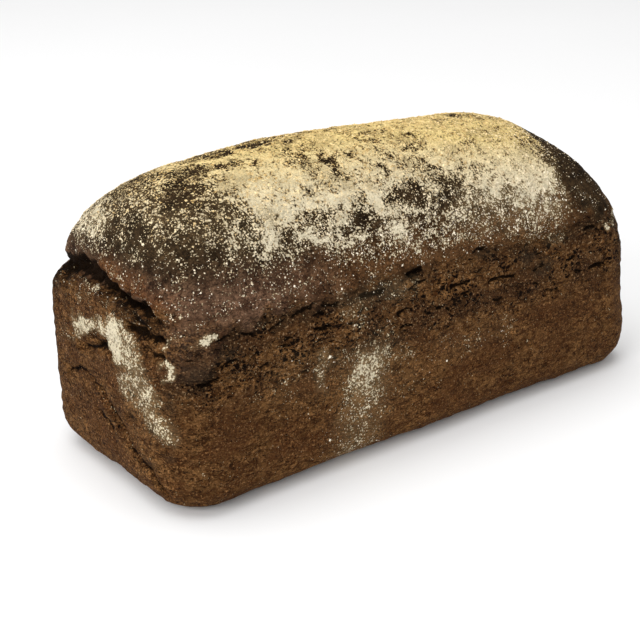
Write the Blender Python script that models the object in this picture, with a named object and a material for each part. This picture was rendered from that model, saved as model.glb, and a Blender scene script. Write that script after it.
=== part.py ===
"""A whole dark rye loaf that was baked in a long tin. Metres, +Z up.

The loaf is one closed solid. Its base and walls took the shape of the tin, its crown rose above the
rim, and the crust tore open where the crown pulled away from the left end wall. The origin is under
the middle of the base, the length runs along X, and the front wall faces -Y.
"""

import itertools

import bmesh
import bpy
import numpy as np
from mathutils import Matrix, Vector

# The part that took the tin's shape
LENGTH = 0.2340
WIDTH = 0.1000
RIM_HEIGHT = 0.0746
RIGHT_END_LEAN = 0.0073  # how far the right end wall has leaned in at the rim
CORNER_RADIUS = 0.0200
BASE_ROUNDING = 0.0170
RIM_ROUNDING = 0.0237

# The crown above the rim
CROWN_HEIGHT = 0.0386
CROWN_TILT = -0.75  # share of its height that it gains for each metre to the right
CROWN_ARCH = 6.25  # share of its height that it loses with the distance from the middle, squared
LEFT_SHOULDER = 7.2  # a high power gives a full shoulder, a low one a sloping shoulder
RIGHT_SHOULDER = 4.0
SHOULDER_FALL = 0.625
SIDE_FALL = 0.92

# The tears across the end walls, front to back: each row has y, height, half width and depth
LEFT_TEAR = (
    (-0.040, 0.0725, 0.0012, 0.0006),
    (-0.028, 0.0757, 0.0020, 0.0046),
    (-0.010, 0.0770, 0.0024, 0.0046),
    (0.003, 0.0788, 0.0026, 0.0044),
    (0.015, 0.0800, 0.0030, 0.0056),
    (0.024, 0.0775, 0.0042, 0.0072),
    (0.034, 0.0752, 0.0034, 0.0060),
    (0.047, 0.0740, 0.0030, 0.0050),
)
RIGHT_TEAR = (
    (-0.037, 0.0660, 0.0016, 0.0000),
    (-0.024, 0.0695, 0.0024, 0.0032),
    (-0.006, 0.0705, 0.0028, 0.0036),
    (0.008, 0.0685, 0.0020, 0.0018),
    (0.024, 0.0700, 0.0026, 0.0034),
    (0.038, 0.0675, 0.0016, 0.0000),
)
TEAR_REACH = (0.098, 0.106)  # distance from the middle over which a tear comes in

# Shorter splits, each with its middle (y, z), half its length and width, and its depth
LEFT_SPLITS = (
    (-0.0310, 0.0672, 0.0075, 0.0017, 0.0034),
    (-0.0350, 0.0620, 0.0035, 0.0026, 0.0024),
    (-0.0010, 0.0545, 0.0070, 0.0020, 0.0016),
)
RIGHT_SPLITS = ((-0.0240, 0.0600, 0.0100, 0.0022, 0.0018),)

# The shredded band on both long walls, under the edge of the smooth crown skin
SKIN_EDGE_HEIGHT = 0.0700
SKIN_EDGE_WAVE = 0.0016
SKIN_EDGE_DROP = 0.0180  # how far the edge comes down by the left end
SHRED_DEPTH = 0.0011
SHRED_FADE = 0.0200
SHRED_RIDGES = (0.0160, 0.0160, 0.0050)  # size of a ridge along X, Y and Z
SHRED_RIDGE_HEIGHT = 0.0007

# Dents, below zero, and bulges that show in the outline: place, radius and height
SWELLS = (
    ((0.034, 0.010, 0.110), 0.026, -0.0017),
    ((0.086, -0.011, 0.099), 0.015, -0.0013),
    ((0.101, -0.037, 0.078), 0.012, -0.0009),
    ((-0.074, 0.014, 0.110), 0.020, -0.0011),
    ((-0.110, 0.039, 0.081), 0.006, -0.0012),
    ((-0.113, 0.040, 0.069), 0.006, 0.0004),
    ((-0.103, -0.047, 0.006), 0.012, 0.0010),
)

# Soft unevenness of the whole crust
LUMPS = ((0.0400, 0.0005, 11), (0.0190, 0.0004, 12))  # size, height and seed of each layer
NOISE_PERIOD = 32
FLAT_BASE_EDGE = 0.0040  # the unevenness comes in over this height

# Where the starting block is sliced: from, to and the number of slices
SLICES = {
    0: ((-0.1170, -0.1080, 3), (-0.1080, 0.1080, 42), (0.1080, 0.1170, 2)),
    1: ((-0.0500, -0.0420, 2), (-0.0420, 0.0420, 14), (0.0420, 0.0500, 2)),
    2: ((0.0000, 0.0480, 9), (0.0480, 0.0820, 10), (0.0820, 0.1130, 5)),
}
SPINE_HEIGHT = 0.045  # every point of the crust can be seen from a spine at this height
SPINE_END = 0.045  # distance from the spine's end to the end wall
ROOT_STEPS = 26
FINE_TEAR_TOP = 0.088
FINE_TEAR_BOTTOM = 0.052

CRUST_COLOUR = (0.060, 0.034, 0.019, 1.0)
CRUST_ROUGHNESS = 0.86


def ease(value, start, end):
    """Zero before start, one after end, and a smooth climb between them."""
    share = np.clip((value - start) / (end - start), 0.0, 1.0)
    return share * share * (3.0 - 2.0 * share)


def blended_max(a, b, width):
    """The larger of two values, rounded off where they are nearly equal."""
    near = np.maximum(width - np.abs(a - b), 0.0) / width
    return np.maximum(a, b) + near * near * width / 4


def lattice_noise(points, size, seed):
    """Smooth random values from -1 to 1, whose bumps are about as large as size."""
    table = np.random.default_rng(seed).uniform(-1.0, 1.0, (NOISE_PERIOD,) * 3)
    place = points / size
    low = np.floor(place).astype(int)
    share = place - low
    share = share * share * (3.0 - 2.0 * share)
    total = np.zeros(len(points))
    for corner in itertools.product((0, 1), repeat=3):
        weight = np.prod(np.where(corner, share, 1.0 - share), axis=1)
        total += weight * table[tuple(((low + corner) % NOISE_PERIOD).T)]
    return total


def tin_wall(x, y, z):
    """Signed distance to the upright walls: a rounded rectangle whose right end leans in."""
    climb = np.clip(z / RIM_HEIGHT, 0.0, 1.3)
    left = -LENGTH / 2
    right = LENGTH / 2 - RIGHT_END_LEAN * climb
    past_x = np.abs(x - (left + right) / 2) - ((right - left) / 2 - CORNER_RADIUS)
    past_y = np.abs(y) - (WIDTH / 2 - CORNER_RADIUS)
    corner = np.hypot(np.maximum(past_x, 0.0), np.maximum(past_y, 0.0))
    return corner + np.minimum(np.maximum(past_x, past_y), 0.0) - CORNER_RADIUS


def fall(share, power):
    """A crown profile: one in the middle, zero at the wall and below zero past it."""
    return np.sign(share) * np.abs(share) ** power


def crown_top(x, y):
    """Height of the crown's surface above a place on the base."""
    right = LENGTH / 2 - RIGHT_END_LEAN
    along = np.where(x < 0.0, -x / (LENGTH / 2), x / right)
    shoulder = np.where(x < 0.0, LEFT_SHOULDER, RIGHT_SHOULDER)
    end_fall = fall(np.maximum(1.0 - np.clip(along, 0.0, 1.2) ** shoulder, -0.5), SHOULDER_FALL)
    side_fall = fall(np.maximum(1.0 - (np.abs(y) / (WIDTH / 2)) ** 2, -0.6), SIDE_FALL)
    height = CROWN_HEIGHT * (1.0 + CROWN_TILT * x - CROWN_ARCH * x * x)
    return RIM_HEIGHT + height * end_fall * side_fall


def form(points):
    """The smooth loaf as a field: below zero inside it, zero on its surface."""
    x, y, z = points.T
    body = blended_max(tin_wall(x, y, z), z - crown_top(x, y), RIM_ROUNDING)
    return blended_max(body, -z, BASE_ROUNDING)


def onto_form(points):
    """Moves points along rays from the loaf's spine until they lie on the smooth form."""
    anchor = np.zeros_like(points)
    reach = LENGTH / 2 - SPINE_END
    anchor[:, 0] = np.clip(points[:, 0], -reach, reach)
    anchor[:, 2] = SPINE_HEIGHT
    ray = points - anchor
    near = np.zeros(len(points))
    far = np.full(len(points), 1.6)
    for _ in range(ROOT_STEPS):
        middle = (near + far) / 2
        inside = form(anchor + ray * middle[:, None]) < 0.0
        near = np.where(inside, middle, near)
        far = np.where(inside, far, middle)
    return anchor + ray * near[:, None]


def outward(points):
    """Unit directions that point out of the smooth form."""
    step = 0.0002
    slope = [form(points + shift) - form(points - shift) for shift in np.eye(3) * step]
    slope = np.stack(slope, axis=1)
    return slope / np.linalg.norm(slope, axis=1)[:, None]


def groove(distance, half_width):
    """A rounded groove's share of its full depth at a distance from its middle line."""
    return np.exp(-((distance / half_width) ** 2))


def splits(y, z, rows):
    """Depth of the short splits in an end wall."""
    depth = np.zeros(len(y))
    for middle_y, middle_z, half_length, half_width, deepest in rows:
        along = np.clip(np.abs(y - middle_y) - half_length, 0.0, None)
        depth += deepest * groove(np.hypot(along, z - middle_z), half_width)
    return depth


def tear(y, z, rows):
    """Depth of a tear that runs across an end wall."""
    row_y, *profile = zip(*rows, strict=True)
    height, half_width, depth = (np.interp(y, row_y, column) for column in profile)
    return depth * groove(z - height, half_width)


def torn_ends(x, y, z):
    """Depth of everything that is torn into the two end walls."""
    left = tear(y, z, LEFT_TEAR) + splits(y, z, LEFT_SPLITS)
    right = tear(y, z, RIGHT_TEAR) + splits(y, z, RIGHT_SPLITS)
    return ease(-x, *TEAR_REACH) * left + ease(x, *TEAR_REACH) * right


def skin_edge(points):
    """Height of the crown skin's ragged lower edge on the long walls."""
    x = points[:, 0]
    wave = SKIN_EDGE_WAVE * lattice_noise(points * (1.0, 0.0, 0.0), 0.014, 21)
    return SKIN_EDGE_HEIGHT + wave - SKIN_EDGE_DROP * ease(-x, 0.088, 0.108)


def shred(points):
    """Depth of the shredded band on the long walls, with ridges that run along the loaf."""
    y, z = points[:, 1], points[:, 2]
    on_wall = ease(np.abs(y), 0.036, 0.044)
    under_edge = skin_edge(points) - z
    band = ease(under_edge, -0.001, 0.001) * (1.0 - ease(under_edge, 0.001, SHRED_FADE))
    ridges = lattice_noise(points / SHRED_RIDGES, 1.0, 22)
    return on_wall * band * (SHRED_DEPTH + SHRED_RIDGE_HEIGHT * ridges)


def relief(points):
    """How far the crust stands out of the smooth form. Tears are below zero."""
    x, y, z = points.T
    height = -shred(points) - torn_ends(x, y, z)
    for middle, radius, swell in SWELLS:
        height += swell * groove(np.linalg.norm(points - middle, axis=1), radius)
    for size, lump, seed in LUMPS:
        height += lump * lattice_noise(points, size, seed)
    return height * ease(z, 0.0, FLAT_BASE_EDGE)


def slice_places(spans):
    """The places where one axis of the starting block is sliced."""
    places = [np.linspace(start, end, count + 1) for start, end, count in spans]
    return np.unique(np.round(np.concatenate(places), 6))[1:-1]


def sliced_block(bm):
    """A block as large as the loaf, sliced into cells that are finest where the crust is torn."""
    height = SLICES[2][-1][1]
    place = Matrix.Translation((0.0, 0.0, height / 2)) @ Matrix.Diagonal((LENGTH, WIDTH, height, 1.0))
    bmesh.ops.create_cube(bm, size=1.0, matrix=place)
    for axis, spans in SLICES.items():
        normal = Vector((axis == 0, axis == 1, axis == 2))
        for where in slice_places(spans):
            everything = bm.verts[:] + bm.edges[:] + bm.faces[:]
            bmesh.ops.bisect_plane(
                bm, geom=everything, dist=1e-6, plane_co=normal * float(where), plane_no=normal
            )


def move_vertices(bm, rule):
    """Moves every vertex of the mesh to where a rule puts it."""
    places = np.array([vertex.co for vertex in bm.verts], dtype=float)
    for vertex, place in zip(bm.verts, rule(places), strict=True):
        vertex.co = place


def refine_tear(bm):
    """Halves the cells round the left tear, so that its narrow groove has a true section."""

    def by_tear(edge):
        middle = (edge.verts[0].co + edge.verts[1].co) / 2
        return middle.x < -TEAR_REACH[0] and FINE_TEAR_BOTTOM < middle.z < FINE_TEAR_TOP

    edges = [edge for edge in bm.edges if by_tear(edge)]
    bmesh.ops.subdivide_edges(bm, edges=edges, cuts=1, use_grid_fill=True)


def raised(points):
    """The finished crust: the smooth form with its relief."""
    return points + outward(points) * relief(points)[:, None]


def join_flat_base(bm):
    """Makes the cells of the flat base one face, and turns every face into triangles."""
    flat = 1e-6
    for vertex in bm.verts:
        if abs(vertex.co.z) < flat:
            vertex.co.z = 0.0
    base = [face for face in bm.faces if max(v.co.z for v in face.verts) < flat]
    bmesh.ops.dissolve_faces(bm, faces=base, use_verts=True)
    bmesh.ops.triangulate(bm, faces=bm.faces[:])


def crust_material():
    """Dark, dull, baked rye crust."""
    material = bpy.data.materials.new("rye_crust")
    material.use_nodes = True
    shader = material.node_tree.nodes["Principled BSDF"]
    shader.inputs["Base Color"].default_value = CRUST_COLOUR
    shader.inputs["Roughness"].default_value = CRUST_ROUGHNESS
    shader.inputs["Metallic"].default_value = 0.0
    return material


def make_loaf(collection):
    """The whole loaf as one object."""
    bm = bmesh.new()
    sliced_block(bm)
    move_vertices(bm, onto_form)
    refine_tear(bm)
    move_vertices(bm, onto_form)
    move_vertices(bm, raised)
    join_flat_base(bm)
    bmesh.ops.recalc_face_normals(bm, faces=bm.faces[:])
    mesh = bpy.data.meshes.new("loaf")
    bm.to_mesh(mesh)
    bm.free()
    mesh.shade_smooth()
    mesh.materials.append(crust_material())
    loaf = bpy.data.objects.new("loaf", mesh)
    collection.objects.link(loaf)
    return loaf


def main():
    for old in list(bpy.data.objects):
        bpy.data.objects.remove(old, do_unlink=True)
    collection = bpy.data.collections.new("rye_loaf")
    bpy.context.scene.collection.children.link(collection)
    make_loaf(collection)


main()
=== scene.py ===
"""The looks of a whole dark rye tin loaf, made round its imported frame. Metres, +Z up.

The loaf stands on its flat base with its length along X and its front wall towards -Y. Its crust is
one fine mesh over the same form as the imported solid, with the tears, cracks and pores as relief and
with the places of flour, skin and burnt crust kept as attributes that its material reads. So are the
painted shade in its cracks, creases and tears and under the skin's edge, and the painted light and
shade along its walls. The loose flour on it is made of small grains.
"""

import itertools

import bmesh
import bpy
import numpy as np
from mathutils import Matrix, Vector


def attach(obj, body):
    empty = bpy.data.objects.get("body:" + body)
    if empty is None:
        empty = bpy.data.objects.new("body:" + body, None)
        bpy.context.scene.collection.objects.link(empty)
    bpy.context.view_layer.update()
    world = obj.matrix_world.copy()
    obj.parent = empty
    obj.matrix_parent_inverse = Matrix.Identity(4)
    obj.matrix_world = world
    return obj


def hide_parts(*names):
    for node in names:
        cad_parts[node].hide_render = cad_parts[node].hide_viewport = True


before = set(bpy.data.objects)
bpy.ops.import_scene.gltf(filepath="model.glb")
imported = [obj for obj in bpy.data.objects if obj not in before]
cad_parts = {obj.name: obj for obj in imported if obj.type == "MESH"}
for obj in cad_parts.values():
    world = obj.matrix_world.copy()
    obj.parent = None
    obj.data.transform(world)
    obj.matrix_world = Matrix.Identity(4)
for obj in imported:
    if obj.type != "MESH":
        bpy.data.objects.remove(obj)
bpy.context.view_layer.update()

X, Y, Z = range(3)  # the columns of an array of points

# The part that took the tin's shape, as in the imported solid
LENGTH = 0.234
WIDTH = 0.1
RIM_HEIGHT = 0.0746
RIGHT_END_LEAN = 0.0073
CORNER_RADIUS = 0.02
BASE_ROUNDING = 0.017
RIM_ROUNDING = 0.0237
SPINE_HEIGHT = 0.045
SPINE_END = 0.045
ROOT_STEPS = 26
RAY_REACH = 1.6  # how far along a ray the surface is looked for, as a share of the ray
SLOPE_STEP = 0.0002  # distance over which the slope of the form is measured

# The crown above the rim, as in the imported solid
CROWN_HEIGHT = 0.0386
CROWN_TILT = -0.75  # share of its height that it gains for each metre to the right
CROWN_ARCH = 6.25  # share of its height that it loses with the distance from the middle, squared
LEFT_SHOULDER = 7.2  # a high power gives a full shoulder, a low one a sloping shoulder
RIGHT_SHOULDER = 4.0
SHOULDER_FALL = 0.625
SIDE_FALL = 0.92

# The tears across the end walls, front to back: each row has y, height, half width and depth
LEFT_TEAR = (
    (-0.04, 0.0725, 0.0012, 0.0006),
    (-0.028, 0.0757, 0.002, 0.0046),
    (-0.01, 0.077, 0.0024, 0.0046),
    (0.003, 0.0788, 0.0026, 0.0044),
    (0.015, 0.08, 0.003, 0.0056),
    (0.024, 0.0775, 0.0042, 0.0072),
    (0.034, 0.0752, 0.0034, 0.006),
    (0.047, 0.074, 0.003, 0.005),
)
RIGHT_TEAR = (
    (-0.037, 0.066, 0.0016, 0.0),
    (-0.024, 0.0695, 0.0024, 0.0032),
    (-0.006, 0.0705, 0.0028, 0.0036),
    (0.008, 0.0685, 0.002, 0.0018),
    (0.024, 0.07, 0.0026, 0.0034),
    (0.038, 0.0675, 0.0016, 0.0),
)
TEAR_REACH = (0.098, 0.106)  # distance from the middle over which a tear comes in
TEAR_WOBBLE = 0.0015  # how raggedly the tear's middle line runs
TEAR_WAVES = ((0.0045, 1.0, 41), (0.002, 0.6, 42))  # size, share and seed of each wave of that line
TEAR_CRUMB = 0.0016  # height of the crumb inside a tear
TEAR_CRUMB_SIZE = 0.0022
TEAR_CRUMB_DEPTH = (0.0008, 0.003)  # depth of the tear over which its crumb comes in
# How far the torn crumb reaches down from the left tear: y and reach
TORN_REACH = (
    (-0.04, 0.005),
    (-0.03, 0.0085),
    (-0.012, 0.0075),
    (0.005, 0.006),
    (0.024, 0.01),
    (0.04, 0.011),
)
TORN_START = (-0.0016, 0.0004)  # distance below the left tear over which its torn crumb comes in
# The crumbling crust over the left tear: heights over it where it comes in and where it fades
BRINK_START = (0.0, 0.001)
BRINK_STOP = (0.003, 0.007)
BRINK_SHARE = 0.8

# Shorter splits in the end walls, each with its middle (y, z), half its length and width, and depth
LEFT_SPLITS = (
    (-0.029, 0.0674, 0.0095, 0.0019, 0.0034),
    (-0.035, 0.062, 0.0035, 0.0026, 0.0024),
    (-0.001, 0.0545, 0.007, 0.002, 0.0016),
)
RIGHT_SPLITS = ((-0.024, 0.06, 0.01, 0.0022, 0.0018),)

# The shredded band on both long walls, under the edge of the smooth crown skin
LONG_WALLS = (0.036, 0.044)  # distance from the middle over which a long wall takes over
SKIN_EDGE_HEIGHT = 0.07
SKIN_EDGE_WAVE = 0.0016
SKIN_EDGE_RAGS = 0.0008
SKIN_EDGE_SIZES = (0.014, 0.0042)  # length of a wave and of a rag
SKIN_EDGE_DROP = 0.018
SHRED_START = (-0.0006, 0.0008)  # distance under the skin's edge over which the band comes in
SHRED_DEPTH = 0.0011
SHRED_FADE = 0.02
SHRED_RIDGES = (0.016, 0.016, 0.005)
SHRED_RIDGE_HEIGHT = 0.0007
FINE_RIDGES = (0.007, 0.007, 0.0022)
FINE_RIDGE_HEIGHT = 0.0005

# Dents, below zero, and bulges that show in the outline: place, radius and height
SWELLS = (
    ((0.034, 0.01, 0.11), 0.026, -0.0017),
    ((0.086, -0.011, 0.099), 0.015, -0.0013),
    ((0.101, -0.037, 0.078), 0.012, -0.0009),
    ((-0.074, 0.014, 0.11), 0.02, -0.0011),
    ((-0.11, 0.039, 0.081), 0.006, -0.0012),
    ((-0.113, 0.04, 0.069), 0.006, 0.0004),
    ((-0.103, -0.047, 0.006), 0.012, 0.001),
)
LUMPS = ((0.04, 0.0005, 11), (0.019, 0.0004, 12))
FINE_LUMPS = ((0.008, 0.00025, 31), (0.0036, 0.00018, 32), (0.0018, 0.00014, 33))
# Long low ridges of the walls: their size along X, Y and Z, height and seed
WALL_RIDGES = (((0.008, 0.008, 0.0028), 0.0003, 34), ((0.004, 0.004, 0.0016), 0.0002, 35))
KNOBS = ((0.004, 0.0012, 36), (0.0024, 0.0008, 37))  # size, height and seed of the torn crumb
NOISE_PERIOD = 32
FLAT_BASE_EDGE = 0.004
FLAT = 0.000001  # a face below this height is on the base

# Cracks in the front wall: middle (x, z), half length, half width, depth and slope
FRONT_CRACKS = (
    (-0.1015, 0.052, 0.0035, 0.00058, 0.0019, 0.25),
    (-0.093, 0.0575, 0.0025, 0.0005, 0.001, 0.1),
    (-0.095, 0.0665, 0.0025, 0.0005, 0.0011, 0.1),
    (-0.084, 0.065, 0.002, 0.00058, 0.0014, -0.1),
    (-0.079, 0.0525, 0.0016, 0.0005, 0.0013, 0.6),
    (-0.0755, 0.059, 0.001, 0.0005, 0.001, 0.5),
    (-0.072, 0.0655, 0.003, 0.00065, 0.001, 0.4),
    (-0.068, 0.0595, 0.0015, 0.0005, 0.001, 0.3),
    (-0.06, 0.068, 0.005, 0.00072, 0.0013, 0.2),
    (-0.055, 0.0645, 0.0025, 0.0005, 0.001, 0.0),
    (-0.054, 0.0593, 0.0032, 0.00058, 0.0016, -0.1),
    (-0.049, 0.0668, 0.003, 0.00058, 0.0011, 0.0),
    (-0.03, 0.066, 0.006, 0.00101, 0.001, 0.05),
    (-0.017, 0.0563, 0.0025, 0.0005, 0.0012, 0.1),
    (-0.016, 0.05, 0.0026, 0.00058, 0.0014, 0.2),
    (-0.009, 0.0646, 0.0038, 0.00058, 0.0014, 0.25),
    (-0.0085, 0.0693, 0.003, 0.00079, 0.0019, 0.1),
    (0.0, 0.0532, 0.0013, 0.00058, 0.0014, 0.0),
    (0.0048, 0.0513, 0.001, 0.00072, 0.0019, -0.6),
    (0.011, 0.0598, 0.004, 0.00058, 0.0014, 0.05),
    (0.013, 0.056, 0.002, 0.0005, 0.0011, 0.0),
    (0.023, 0.0705, 0.0035, 0.00065, 0.0013, 0.0),
    (0.03, 0.049, 0.002, 0.0005, 0.0011, -0.2),
    (0.033, 0.0574, 0.0065, 0.00065, 0.0017, -0.03),
    (0.052, 0.0566, 0.0025, 0.00058, 0.0011, 0.2),
    (0.054, 0.0625, 0.002, 0.0005, 0.001, 0.0),
    (0.061, 0.046, 0.003, 0.00058, 0.0012, 0.0),
    (0.072, 0.056, 0.0025, 0.00058, 0.0012, 0.2),
    (0.075, 0.0502, 0.002, 0.0005, 0.0011, 0.0),
    (0.084, 0.066, 0.0025, 0.00058, 0.0012, 0.1),
    (0.0865, 0.0498, 0.004, 0.00086, 0.0021, 0.05),
)
# Seeded cracks: how many, and half the length, half the width and the depth of the largest
BACK_CRACKS = (26, 0.0045, 0.0007, 0.0017)  # on the wall that the photo doesn't show
WALL_PORES = (200, 0.0013, 0.00048, 0.001)  # small ones on each long wall
CRACK_SPAN = (-0.108, 0.102)
CRACK_HEIGHT = (0.0575, 0.0085)  # mean and spread
CRACK_LIMITS = (0.012, 0.071)
CRACK_SLOPE = (0.05, 0.15)  # mean and spread
CRACK_WOBBLE = ((0.0032, 0.0008), (0.0014, 0.0004))  # size and distance by which cracks are shifted
FOLD_AS_CRACK = 0.3  # how much a crease counts as a crack of its depth, for its painted shade and for the flour it lacks

# Thin creases of the left end wall: the points (y, z) of each, half its width and its depth
LEFT_CREASES = (
    (
        ((0.0255, 0.0357), (0.0177, 0.0394), (0.0117, 0.0399), (0.0062, 0.038), (0.0018, 0.0361)),
        0.0008,
        0.0018,
    ),
    (((0.0018, 0.0361), (-0.004, 0.0311), (-0.0091, 0.028), (-0.015, 0.0241)), 0.0014, 0.0025),
    (((-0.015, 0.0241), (-0.019, 0.0207), (-0.0249, 0.018), (-0.0317, 0.0169)), 0.0012, 0.0016),
    (((0.0052, 0.0271), (-0.0003, 0.0256), (-0.006, 0.0222)), 0.0008, 0.001),
    (((-0.032, 0.015), (-0.0346, 0.0118), (-0.0372, 0.0085)), 0.0012, 0.0018),
    (((0.014, 0.049), (0.005, 0.051), (-0.001, 0.054), (-0.005, 0.057)), 0.0015, 0.0021),
    (((-0.021, 0.0725), (-0.028, 0.072), (-0.034, 0.0705)), 0.0006, 0.0012),
    (((-0.018, 0.043), (-0.024, 0.0425)), 0.0008, 0.001),
    (((-0.018, 0.0335), (-0.021, 0.033)), 0.001, 0.0012),
)
CREASE_TAPER = 0.0015  # length over which a crease fades at its ends
CREASE_BORDER = (0.002, 0.0032)  # distance from a crease over which its attributes go

# Flour on the crown, at places along the loaf: x, where it starts, where it is full, and how dense
CROWN_FLOUR = (
    (-0.118, 0.079, 0.103, 0.4),
    (-0.108, 0.084, 0.101, 0.4),
    (-0.098, 0.085, 0.102, 0.45),
    (-0.085, 0.082, 0.103, 0.6),
    (-0.075, 0.08, 0.103, 0.73),
    (-0.068, 0.079, 0.102, 0.87),
    (-0.06, 0.078, 0.101, 0.96),
    (-0.052, 0.082, 0.103, 1.25),
    (-0.044, 0.079, 0.102, 1.17),
    (-0.032, 0.069, 0.1, 1.03),
    (-0.02, 0.067, 0.1, 0.99),
    (-0.008, 0.0685, 0.1, 0.97),
    (0.006, 0.069, 0.1, 0.96),
    (0.02, 0.071, 0.102, 0.99),
    (0.032, 0.071, 0.103, 1.04),
    (0.042, 0.066, 0.102, 1.1),
    (0.052, 0.064, 0.101, 1.13),
    (0.062, 0.062, 0.099, 1.09),
    (0.069, 0.063, 0.098, 0.92),
    (0.073, 0.068, 0.104, 0.72),
    (0.077, 0.076, 0.112, 0.36),
    (0.082, 0.088, 0.118, 0.14),
    (0.095, 0.092, 0.118, 0.06),
    (0.118, 0.084, 0.118, 0.05),
)
FLOUR_CLIMB = 0.7  # a power: below one, the flour soon thickens above its edge
# Strokes of flour elsewhere: start, end, half width and density
FLOUR_STROKES = (
    ((-0.104, 0.034, 0.096), (-0.109, 0.012, 0.096), 0.009, 0.74),
    ((0.074, -0.008, 0.103), (0.077, 0.008, 0.103), 0.008, 0.86),
    ((-0.066, -0.035, 0.095), (-0.07, -0.039, 0.088), 0.0031, 0.96),
    ((-0.0435, -0.04, 0.0875), (-0.042, -0.04, 0.087), 0.0022, 0.76),
    ((-0.0308, -0.041, 0.085), (-0.0295, -0.041, 0.085), 0.0026, 0.76),
    ((-0.084, -0.018, 0.107), (-0.082, -0.019, 0.1065), 0.0017, 0.74),
    ((-0.09, -0.024, 0.102), (-0.0885, -0.025, 0.1015), 0.0015, 0.72),
    ((-0.0836, -0.028, 0.101), (-0.0825, -0.028, 0.1005), 0.0015, 0.72),
    ((-0.116, 0.0185, 0.0515), (-0.116, 0.0165, 0.058), 0.0022, 0.6),
    ((-0.116, 0.016, 0.0585), (-0.116, -0.004, 0.0615), 0.003, 0.8),
    ((-0.116, -0.0105, 0.0645), (-0.117, -0.015, 0.055), 0.0046, 0.92),
    ((-0.116, -0.015, 0.064), (-0.116, -0.022, 0.062), 0.004, 0.7),
    ((-0.117, -0.02, 0.059), (-0.117, -0.027, 0.05), 0.0066, 0.58),
    ((-0.117, -0.025, 0.048), (-0.116, -0.033, 0.043), 0.0066, 0.54),
    ((-0.116, -0.034, 0.041), (-0.1144, -0.0397, 0.0345), 0.004, 0.54),
    ((-0.117, -0.019, 0.044), (-0.116, -0.03, 0.039), 0.0048, 0.46),
    ((-0.1117, -0.0424, 0.0645), (-0.111, -0.043, 0.0652), 0.0016, 0.72),
    ((-0.1127, -0.0421, 0.0595), (-0.1132, -0.0417, 0.0531), 0.0016, 0.72),
    ((-0.1149, -0.0386, 0.0587), (-0.1145, -0.039, 0.06), 0.0011, 0.6),
    ((-0.113, 0.003, 0.0755), (-0.113, -0.001, 0.0725), 0.0014, 0.74),
    ((-0.114, 0.014, 0.068), (-0.114, 0.008, 0.0745), 0.003, 0.36),
    ((-0.114, 0.03, 0.049), (-0.114, 0.026, 0.052), 0.005, 0.3),
    ((-0.034, -0.05, 0.041), (-0.036, -0.05, 0.037), 0.0066, 0.68),
    ((-0.034, -0.05, 0.04), (-0.04, -0.05, 0.01), 0.012, 0.38),
    ((-0.022, -0.05, 0.04), (-0.048, -0.05, 0.046), 0.007, 0.26),
    ((-0.053, -0.05, 0.048), (-0.055, -0.05, 0.038), 0.004, 0.4),
    ((-0.07, -0.05, 0.044), (-0.02, -0.05, 0.03), 0.012, 0.16),
    ((-0.104, -0.048, 0.0665), (-0.1005, -0.049, 0.07), 0.0019, 0.8),
    ((-0.1, -0.049, 0.07), (-0.097, -0.05, 0.07), 0.0018, 0.74),
    ((-0.107, -0.046, 0.0655), (-0.1045, -0.048, 0.064), 0.0013, 0.34),
    ((-0.04, -0.05, 0.064), (-0.012, -0.05, 0.0685), 0.006, 0.26),
    ((0.025, -0.05, 0.0735), (0.064, -0.05, 0.0705), 0.004, 0.28),
    ((0.0364, -0.0464, 0.0722), (0.0531, -0.0471, 0.0703), 0.002, 0.52),
    ((0.06, -0.0464, 0.0715), (0.067, -0.0458, 0.0735), 0.0018, 0.52),
    ((0.097, -0.046, 0.0655), (0.1005, -0.0445, 0.069), 0.002, 0.72),
    ((0.002, -0.05, 0.036), (0.034, -0.05, 0.036), 0.006, 0.17),
    ((0.026, 0.05, 0.042), (0.036, 0.05, 0.03), 0.009, 0.46),
    ((-0.06, 0.05, 0.054), (-0.052, 0.05, 0.04), 0.009, 0.32),
    ((0.111, 0.012, 0.056), (0.112, -0.004, 0.05), 0.0075, 0.34),
    ((0.111, -0.01, 0.042), (0.112, -0.022, 0.036), 0.0075, 0.24),
)
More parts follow.
